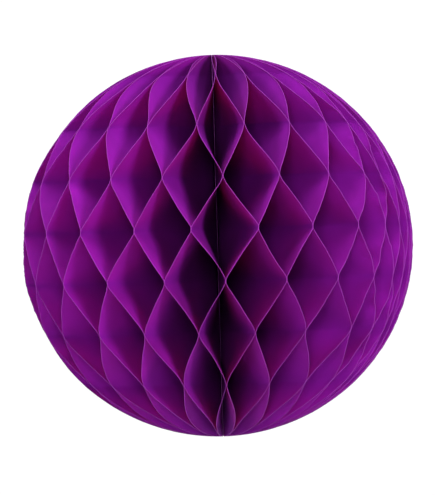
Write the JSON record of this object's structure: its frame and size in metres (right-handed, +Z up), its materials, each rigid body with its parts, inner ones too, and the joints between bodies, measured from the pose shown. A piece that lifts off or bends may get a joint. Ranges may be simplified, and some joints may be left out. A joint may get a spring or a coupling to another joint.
{
  "type": "paper honeycomb ball",
  "caption": "Hanging honeycomb ball of half-oval tissue leaves glued into diamond cells round a spine thread, with two folding card covers.",
  "frame": {"origin": "centre of the open ball, on the spine thread's axis", "axes": "+Z up the spine; +X from the spine into the seam where the two covers stand back to back; -X towards the middle of the fan; -Y is the front half"},
  "size_m": [0.2041, 0.205, 0.2],
  "materials": {
    "tissue": "matte",
    "card": "matte",
    "adhesive": "satin",
    "thread": "matte"
  },
  "bodies": {
    "spine": {"spine_thread": "thread"},
    "front_cover": {"front_cover": "card"},
    "rear_cover": {"rear_cover": "card", "upper_tab": "adhesive", "lower_tab": "adhesive"},
    "leaf_01": {"leaf_01": "tissue"},
    "leaf_02": {"leaf_02": "tissue"},
    "leaf_03": {"leaf_03": "tissue"},
    "leaf_04": {"leaf_04": "tissue"},
    "leaf_05": {"leaf_05": "tissue"},
    "leaf_06": {"leaf_06": "tissue"},
    "leaf_07": {"leaf_07": "tissue"},
    "leaf_08": {"leaf_08": "tissue"},
    "leaf_09": {"leaf_09": "tissue"},
    "leaf_10": {"leaf_10": "tissue"},
    "leaf_11": {"leaf_11": "tissue"},
    "leaf_12": {"leaf_12": "tissue"},
    "leaf_13": {"leaf_13": "tissue"},
    "leaf_14": {"leaf_14": "tissue"},
    "leaf_15": {"leaf_15": "tissue"},
    "leaf_16": {"leaf_16": "tissue"},
    "leaf_17": {"leaf_17": "tissue"},
    "leaf_18": {"leaf_18": "tissue"},
    "leaf_19": {"leaf_19": "tissue"},
    "leaf_20": {"leaf_20": "tissue"},
    "leaf_21": {"leaf_21": "tissue"},
    "leaf_22": {"leaf_22": "tissue"},
    "leaf_23": {"leaf_23": "tissue"},
    "leaf_24": {"leaf_24": "tissue"},
    "leaf_25": {"leaf_25": "tissue"},
    "leaf_26": {"leaf_26": "tissue"},
    "leaf_27": {"leaf_27": "tissue"},
    "leaf_28": {"leaf_28": "tissue"},
    "leaf_29": {"leaf_29": "tissue"},
    "leaf_30": {"leaf_30": "tissue"},
    "leaf_31": {"leaf_31": "tissue"},
    "leaf_32": {"leaf_32": "tissue"},
    "leaf_33": {"leaf_33": "tissue"},
    "leaf_34": {"leaf_34": "tissue"},
    "leaf_35": {"leaf_35": "tissue"},
    "leaf_36": {"leaf_36": "tissue"},
    "leaf_37": {"leaf_37": "tissue"},
    "leaf_38": {"leaf_38": "tissue"},
    "leaf_39": {"leaf_39": "tissue"},
    "leaf_40": {"leaf_40": "tissue"},
    "leaf_41": {"leaf_41": "tissue"},
    "leaf_42": {"leaf_42": "tissue"},
    "leaf_43": {"leaf_43": "tissue"},
    "leaf_44": {"leaf_44": "tissue"},
    "leaf_45": {"leaf_45": "tissue"},
    "leaf_46": {"leaf_46": "tissue"},
    "leaf_47": {"leaf_47": "tissue"},
    "leaf_48": {"leaf_48": "tissue"},
    "leaf_49": {"leaf_49": "tissue"},
    "leaf_50": {"leaf_50": "tissue"},
    "leaf_51": {"leaf_51": "tissue"},
    "leaf_52": {"leaf_52": "tissue"}
  },
  "joints": [
    {"name": "front_cover_fold", "type": "hinge", "parent": "spine", "child": "front_cover", "pos_m": [0, -0.00151, 0], "axis": [0, 0, -1], "range_deg": [0, 180]},
    {"name": "rear_cover_fold", "type": "hinge", "parent": "spine", "child": "rear_cover", "pos_m": [0, 0.00151, 0], "axis": [0, 0, -1], "range_deg": [-180, 0]},
    {"name": "leaf_01_fold", "type": "hinge", "parent": "spine", "child": "leaf_01", "pos_m": [-0.00002, -0.00149, 0], "axis": [0, 0, -1], "range_deg": [0, 178.3], "deforming": ["leaf_01"]},
    {"name": "leaf_02_fold", "type": "hinge", "parent": "spine", "child": "leaf_02", "pos_m": [-0.00006, -0.00143, 0], "axis": [0, 0, -1], "range_deg": [0, 174.89], "deforming": ["leaf_02"]},
    {"name": "leaf_03_fold", "type": "hinge", "parent": "spine", "child": "leaf_03", "pos_m": [-0.0001, -0.00138, 0], "axis": [0, 0, -1], "range_deg": [0, 171.48], "deforming": ["leaf_03"]},
    {"name": "leaf_04_fold", "type": "hinge", "parent": "spine", "child": "leaf_04", "pos_m": [-0.00014, -0.00133, 0], "axis": [0, 0, -1], "range_deg": [0, 168.06], "deforming": ["leaf_04"]},
    {"name": "leaf_05_fold", "type": "hinge", "parent": "spine", "child": "leaf_05", "pos_m": [-0.00017, -0.00127, 0], "axis": [0, 0, -1], "range_deg": [0, 164.6], "deforming": ["leaf_05"]},
    {"name": "leaf_06_fold", "type": "hinge", "parent": "spine", "child": "leaf_06", "pos_m": [-0.0002, -0.00122, 0], "axis": [0, 0, -1], "range_deg": [0, 161.06], "deforming": ["leaf_06"]},
    {"name": "leaf_07_fold", "type": "hinge", "parent": "spine", "child": "leaf_07", "pos_m": [-0.00023, -0.00116, 0], "axis": [0, 0, -1], "range_deg": [0, 157.35], "deforming": ["leaf_07"]},
    {"name": "leaf_08_fold", "type": "hinge", "parent": "spine", "child": "leaf_08", "pos_m": [-0.00026, -0.0011, 0], "axis": [0, 0, -1], "range_deg": [0, 153.3], "deforming": ["leaf_08"]},
    {"name": "leaf_09_fold", "type": "hinge", "parent": "spine", "child": "leaf_09", "pos_m": [-0.00029, -0.00103, 0], "axis": [0, 0, -1], "range_deg": [0, 148.62], "deforming": ["leaf_09"]},
    {"name": "leaf_10_fold", "type": "hinge", "parent": "spine", "child": "leaf_10", "pos_m": [-0.00032, -0.00096, 0], "axis": [0, 0, -1], "range_deg": [0, 142.99], "deforming": ["leaf_10"]},
    {"name": "leaf_11_fold", "type": "hinge", "parent": "spine", "child": "leaf_11", "pos_m": [-0.00035, -0.00088, 0], "axis": [0, 0, -1], "range_deg": [0, 136.27], "deforming": ["leaf_11"]},
    {"name": "leaf_12_fold", "type": "hinge", "parent": "spine", "child": "leaf_12", "pos_m": [-0.00038, -0.00079, 0], "axis": [0, 0, -1], "range_deg": [0, 128.6], "deforming": ["leaf_12"]},
    {"name": "leaf_13_fold", "type": "hinge", "parent": "spine", "child": "leaf_13", "pos_m": [-0.0004, -0.0007, 0], "axis": [0, 0, -1], "range_deg": [0, 120.3], "deforming": ["leaf_13"]},
    {"name": "leaf_14_fold", "type": "hinge", "parent": "spine", "child": "leaf_14", "pos_m": [-0.00041, -0.00061, 0], "axis": [0, 0, -1], "range_deg": [0, 111.65], "deforming": ["leaf_14"]},
    {"name": "leaf_15_fold", "type": "hinge", "parent": "spine", "child": "leaf_15", "pos_m": [-0.00041, -0.00052, 0], "axis": [0, 0, -1], "range_deg": [0, 102.84], "deforming": ["leaf_15"]},
    {"name": "leaf_16_fold", "type": "hinge", "parent": "spine", "child": "leaf_16", "pos_m": [-0.00041, -0.00044, 0], "axis": [0, 0, -1], "range_deg": [0, 93.95], "deforming": ["leaf_16"]},
    {"name": "leaf_17_fold", "type": "hinge", "parent": "spine", "child": "leaf_17", "pos_m": [-0.00039, -0.00036, 0], "axis": [0, 0, -1], "range_deg": [0, 85.02], "deforming": ["leaf_17"]},
    {"name": "leaf_18_fold", "type": "hinge", "parent": "spine", "child": "leaf_18", "pos_m": [-0.00037, -0.00029, 0], "axis": [0, 0, -1], "range_deg": [0, 76.08], "deforming": ["leaf_18"]},
    {"name": "leaf_19_fold", "type": "hinge", "parent": "spine", "child": "leaf_19", "pos_m": [-0.00035, -0.00023, 0], "axis": [0, 0, -1], "range_deg": [0, 67.13], "deforming": ["leaf_19"]},
    {"name": "leaf_20_fold", "type": "hinge", "parent": "spine", "child": "leaf_20", "pos_m": [-0.00032, -0.00018, 0], "axis": [0, 0, -1], "range_deg": [0, 58.19], "deforming": ["leaf_20"]},
    {"name": "leaf_21_fold", "type": "hinge", "parent": "spine", "child": "leaf_21", "pos_m": [-0.0003, -0.00014, 0], "axis": [0, 0, -1], "range_deg": [0, 49.23], "deforming": ["leaf_21"]},
    {"name": "leaf_22_fold", "type": "hinge", "parent": "spine", "child": "leaf_22", "pos_m": [-0.00027, -0.0001, 0], "axis": [0, 0, -1], "range_deg": [0, 40.28], "deforming": ["leaf_22"]},
    {"name": "leaf_23_fold", "type": "hinge", "parent": "spine", "child": "leaf_23", "pos_m": [-0.00025, -0.00007, 0], "axis": [0, 0, -1], "range_deg": [0, 31.33], "deforming": ["leaf_23"]},
    {"name": "leaf_24_fold", "type": "hinge", "parent": "spine", "child": "leaf_24", "pos_m": [-0.00023, -0.00005, 0], "axis": [0, 0, -1], "range_deg": [0, 22.38], "deforming": ["leaf_24"]},
    {"name": "leaf_25_fold", "type": "hinge", "parent": "spine", "child": "leaf_25", "pos_m": [-0.00022, -0.00003, 0], "axis": [0, 0, -1], "range_deg": [0, 13.43], "deforming": ["leaf_25"]},
    {"name": "leaf_26_fold", "type": "hinge", "parent": "spine", "child": "leaf_26", "pos_m": [-0.00021, -0.00001, 0], "axis": [0, 0, -1], "range_deg": [0, 4.48], "deforming": ["leaf_26"]},
    {"name": "leaf_27_fold", "type": "hinge", "parent": "spine", "child": "leaf_27", "pos_m": [-0.00021, 0.00001, 0], "axis": [0, 0, -1], "range_deg": [-4.48, 0], "deforming": ["leaf_27"]},
    {"name": "leaf_28_fold", "type": "hinge", "parent": "spine", "child": "leaf_28", "pos_m": [-0.00022, 0.00003, 0], "axis": [0, 0, -1], "range_deg": [-13.43, 0], "deforming": ["leaf_28"]},
    {"name": "leaf_29_fold", "type": "hinge", "parent": "spine", "child": "leaf_29", "pos_m": [-0.00023, 0.00005, 0], "axis": [0, 0, -1], "range_deg": [-22.38, 0], "deforming": ["leaf_29"]},
    {"name": "leaf_30_fold", "type": "hinge", "parent": "spine", "child": "leaf_30", "pos_m": [-0.00025, 0.00007, 0], "axis": [0, 0, -1], "range_deg": [-31.33, 0], "deforming": ["leaf_30"]},
    {"name": "leaf_31_fold", "type": "hinge", "parent": "spine", "child": "leaf_31", "pos_m": [-0.00027, 0.0001, 0], "axis": [0, 0, -1], "range_deg": [-40.28, 0], "deforming": ["leaf_31"]},
    {"name": "leaf_32_fold", "type": "hinge", "parent": "spine", "child": "leaf_32", "pos_m": [-0.0003, 0.00014, 0], "axis": [0, 0, -1], "range_deg": [-49.23, 0], "deforming": ["leaf_32"]},
    {"name": "leaf_33_fold", "type": "hinge", "parent": "spine", "child": "leaf_33", "pos_m": [-0.00032, 0.00018, 0], "axis": [0, 0, -1], "range_deg": [-58.19, 0], "deforming": ["leaf_33"]},
    {"name": "leaf_34_fold", "type": "hinge", "parent": "spine", "child": "leaf_34", "pos_m": [-0.00035, 0.00023, 0], "axis": [0, 0, -1], "range_deg": [-67.13, 0], "deforming": ["leaf_34"]},
    {"name": "leaf_35_fold", "type": "hinge", "parent": "spine", "child": "leaf_35", "pos_m": [-0.00037, 0.00029, 0], "axis": [0, 0, -1], "range_deg": [-76.08, 0], "deforming": ["leaf_35"]},
    {"name": "leaf_36_fold", "type": "hinge", "parent": "spine", "child": "leaf_36", "pos_m": [-0.00039, 0.00036, 0], "axis": [0, 0, -1], "range_deg": [-85.02, 0], "deforming": ["leaf_36"]},
    {"name": "leaf_37_fold", "type": "hinge", "parent": "spine", "child": "leaf_37", "pos_m": [-0.00041, 0.00044, 0], "axis": [0, 0, -1], "range_deg": [-93.95, 0], "deforming": ["leaf_37"]},
    {"name": "leaf_38_fold", "type": "hinge", "parent": "spine", "child": "leaf_38", "pos_m": [-0.00041, 0.00052, 0], "axis": [0, 0, -1], "range_deg": [-102.84, 0], "deforming": ["leaf_38"]},
    {"name": "leaf_39_fold", "type": "hinge", "parent": "spine", "child": "leaf_39", "pos_m": [-0.00041, 0.00061, 0], "axis": [0, 0, -1], "range_deg": [-111.65, 0], "deforming": ["leaf_39"]},
    {"name": "leaf_40_fold", "type": "hinge", "parent": "spine", "child": "leaf_40", "pos_m": [-0.0004, 0.0007, 0], "axis": [0, 0, -1], "range_deg": [-120.3, 0], "deforming": ["leaf_40"]},
    {"name": "leaf_41_fold", "type": "hinge", "parent": "spine", "child": "leaf_41", "pos_m": [-0.00038, 0.00079, 0], "axis": [0, 0, -1], "range_deg": [-128.6, 0], "deforming": ["leaf_41"]},
    {"name": "leaf_42_fold", "type": "hinge", "parent": "spine", "child": "leaf_42", "pos_m": [-0.00035, 0.00088, 0], "axis": [0, 0, -1], "range_deg": [-136.27, 0], "deforming": ["leaf_42"]},
    {"name": "leaf_43_fold", "type": "hinge", "parent": "spine", "child": "leaf_43", "pos_m": [-0.00032, 0.00096, 0], "axis": [0, 0, -1], "range_deg": [-142.99, 0], "deforming": ["leaf_43"]},
    {"name": "leaf_44_fold", "type": "hinge", "parent": "spine", "child": "leaf_44", "pos_m": [-0.00029, 0.00103, 0], "axis": [0, 0, -1], "range_deg": [-148.62, 0], "deforming": ["leaf_44"]},
    {"name": "leaf_45_fold", "type": "hinge", "parent": "spine", "child": "leaf_45", "pos_m": [-0.00026, 0.0011, 0], "axis": [0, 0, -1], "range_deg": [-153.3, 0], "deforming": ["leaf_45"]},
    {"name": "leaf_46_fold", "type": "hinge", "parent": "spine", "child": "leaf_46", "pos_m": [-0.00023, 0.00116, 0], "axis": [0, 0, -1], "range_deg": [-157.35, 0], "deforming": ["leaf_46"]},
    {"name": "leaf_47_fold", "type": "hinge", "parent": "spine", "child": "leaf_47", "pos_m": [-0.0002, 0.00122, 0], "axis": [0, 0, -1], "range_deg": [-161.06, 0], "deforming": ["leaf_47"]},
    {"name": "leaf_48_fold", "type": "hinge", "parent": "spine", "child": "leaf_48", "pos_m": [-0.00017, 0.00127, 0], "axis": [0, 0, -1], "range_deg": [-164.6, 0], "deforming": ["leaf_48"]},
    {"name": "leaf_49_fold", "type": "hinge", "parent": "spine", "child": "leaf_49", "pos_m": [-0.00014, 0.00133, 0], "axis": [0, 0, -1], "range_deg": [-168.06, 0], "deforming": ["leaf_49"]},
    {"name": "leaf_50_fold", "type": "hinge", "parent": "spine", "child": "leaf_50", "pos_m": [-0.0001, 0.00138, 0], "axis": [0, 0, -1], "range_deg": [-171.48, 0], "deforming": ["leaf_50"]},
    {"name": "leaf_51_fold", "type": "hinge", "parent": "spine", "child": "leaf_51", "pos_m": [-0.00006, 0.00143, 0], "axis": [0, 0, -1], "range_deg": [-174.89, 0], "deforming": ["leaf_51"]},
    {"name": "leaf_52_fold", "type": "hinge", "parent": "spine", "child": "leaf_52", "pos_m": [-0.00002, 0.00149, 0], "axis": [0, 0, -1], "range_deg": [-178.3, 0], "deforming": ["leaf_52"]}
  ],
  "couplings": [
    {"joint": "rear_cover_fold", "follows": "front_cover_fold", "ratio": -1},
    {"joint": "leaf_01_fold", "follows": "front_cover_fold", "ratio": 0.99055},
    {"joint": "leaf_02_fold", "follows": "front_cover_fold", "ratio": 0.97163},
    {"joint": "leaf_03_fold", "follows": "front_cover_fold", "ratio": 0.95268},
    {"joint": "leaf_04_fold", "follows": "front_cover_fold", "ratio": 0.93364},
    {"joint": "leaf_05_fold", "follows": "front_cover_fold", "ratio": 0.91441},
    {"joint": "leaf_06_fold", "follows": "front_cover_fold", "ratio": 0.89476},
    {"joint": "leaf_07_fold", "follows": "front_cover_fold", "ratio": 0.87417},
    {"joint": "leaf_08_fold", "follows": "front_cover_fold", "ratio": 0.85166},
    {"joint": "leaf_09_fold", "follows": "front_cover_fold", "ratio": 0.82565},
    {"joint": "leaf_10_fold", "follows": "front_cover_fold", "ratio": 0.79438},
    {"joint": "leaf_11_fold", "follows": "front_cover_fold", "ratio": 0.75703},
    {"joint": "leaf_12_fold", "follows": "front_cover_fold", "ratio": 0.71442},
    {"joint": "leaf_13_fold", "follows": "front_cover_fold", "ratio": 0.66831},
    {"joint": "leaf_14_fold", "follows": "front_cover_fold", "ratio": 0.62028},
    {"joint": "leaf_15_fold", "follows": "front_cover_fold", "ratio": 0.57131},
    {"joint": "leaf_16_fold", "follows": "front_cover_fold", "ratio": 0.52192},
    {"joint": "leaf_17_fold", "follows": "front_cover_fold", "ratio": 0.47233},
    {"joint": "leaf_18_fold", "follows": "front_cover_fold", "ratio": 0.42267},
    {"joint": "leaf_19_fold", "follows": "front_cover_fold", "ratio": 0.37296},
    {"joint": "leaf_20_fold", "follows": "front_cover_fold", "ratio": 0.32324},
    {"joint": "leaf_21_fold", "follows": "front_cover_fold", "ratio": 0.27352},
    {"joint": "leaf_22_fold", "follows": "front_cover_fold", "ratio": 0.22379},
    {"joint": "leaf_23_fold", "follows": "front_cover_fold", "ratio": 0.17406},
    {"joint": "leaf_24_fold", "follows": "front_cover_fold", "ratio": 0.12433},
    {"joint": "leaf_25_fold", "follows": "front_cover_fold", "ratio": 0.074597},
    {"joint": "leaf_26_fold", "follows": "front_cover_fold", "ratio": 0.024866},
    {"joint": "leaf_27_fold", "follows": "front_cover_fold", "ratio": -0.024866},
    {"joint": "leaf_28_fold", "follows": "front_cover_fold", "ratio": -0.074597},
    {"joint": "leaf_29_fold", "follows": "front_cover_fold", "ratio": -0.12433},
    {"joint": "leaf_30_fold", "follows": "front_cover_fold", "ratio": -0.17406},
    {"joint": "leaf_31_fold", "follows": "front_cover_fold", "ratio": -0.22379},
    {"joint": "leaf_32_fold", "follows": "front_cover_fold", "ratio": -0.27352},
    {"joint": "leaf_33_fold", "follows": "front_cover_fold", "ratio": -0.32324},
    {"joint": "leaf_34_fold", "follows": "front_cover_fold", "ratio": -0.37296},
    {"joint": "leaf_35_fold", "follows": "front_cover_fold", "ratio": -0.42267},
    {"joint": "leaf_36_fold", "follows": "front_cover_fold", "ratio": -0.47233},
    {"joint": "leaf_37_fold", "follows": "front_cover_fold", "ratio": -0.52192},
    {"joint": "leaf_38_fold", "follows": "front_cover_fold", "ratio": -0.57131},
    {"joint": "leaf_39_fold", "follows": "front_cover_fold", "ratio": -0.62028},
    {"joint": "leaf_40_fold", "follows": "front_cover_fold", "ratio": -0.66831},
    {"joint": "leaf_41_fold", "follows": "front_cover_fold", "ratio": -0.71442},
    {"joint": "leaf_42_fold", "follows": "front_cover_fold", "ratio": -0.75703},
    {"joint": "leaf_43_fold", "follows": "front_cover_fold", "ratio": -0.79438},
    {"joint": "leaf_44_fold", "follows": "front_cover_fold", "ratio": -0.82565},
    {"joint": "leaf_45_fold", "follows": "front_cover_fold", "ratio": -0.85166},
    {"joint": "leaf_46_fold", "follows": "front_cover_fold", "ratio": -0.87417},
    {"joint": "leaf_47_fold", "follows": "front_cover_fold", "ratio": -0.89476},
    {"joint": "leaf_48_fold", "follows": "front_cover_fold", "ratio": -0.91441},
    {"joint": "leaf_49_fold", "follows": "front_cover_fold", "ratio": -0.93364},
    {"joint": "leaf_50_fold", "follows": "front_cover_fold", "ratio": -0.95268},
    {"joint": "leaf_51_fold", "follows": "front_cover_fold", "ratio": -0.97163},
    {"joint": "leaf_52_fold", "follows": "front_cover_fold", "ratio": -0.99055}
  ]
}
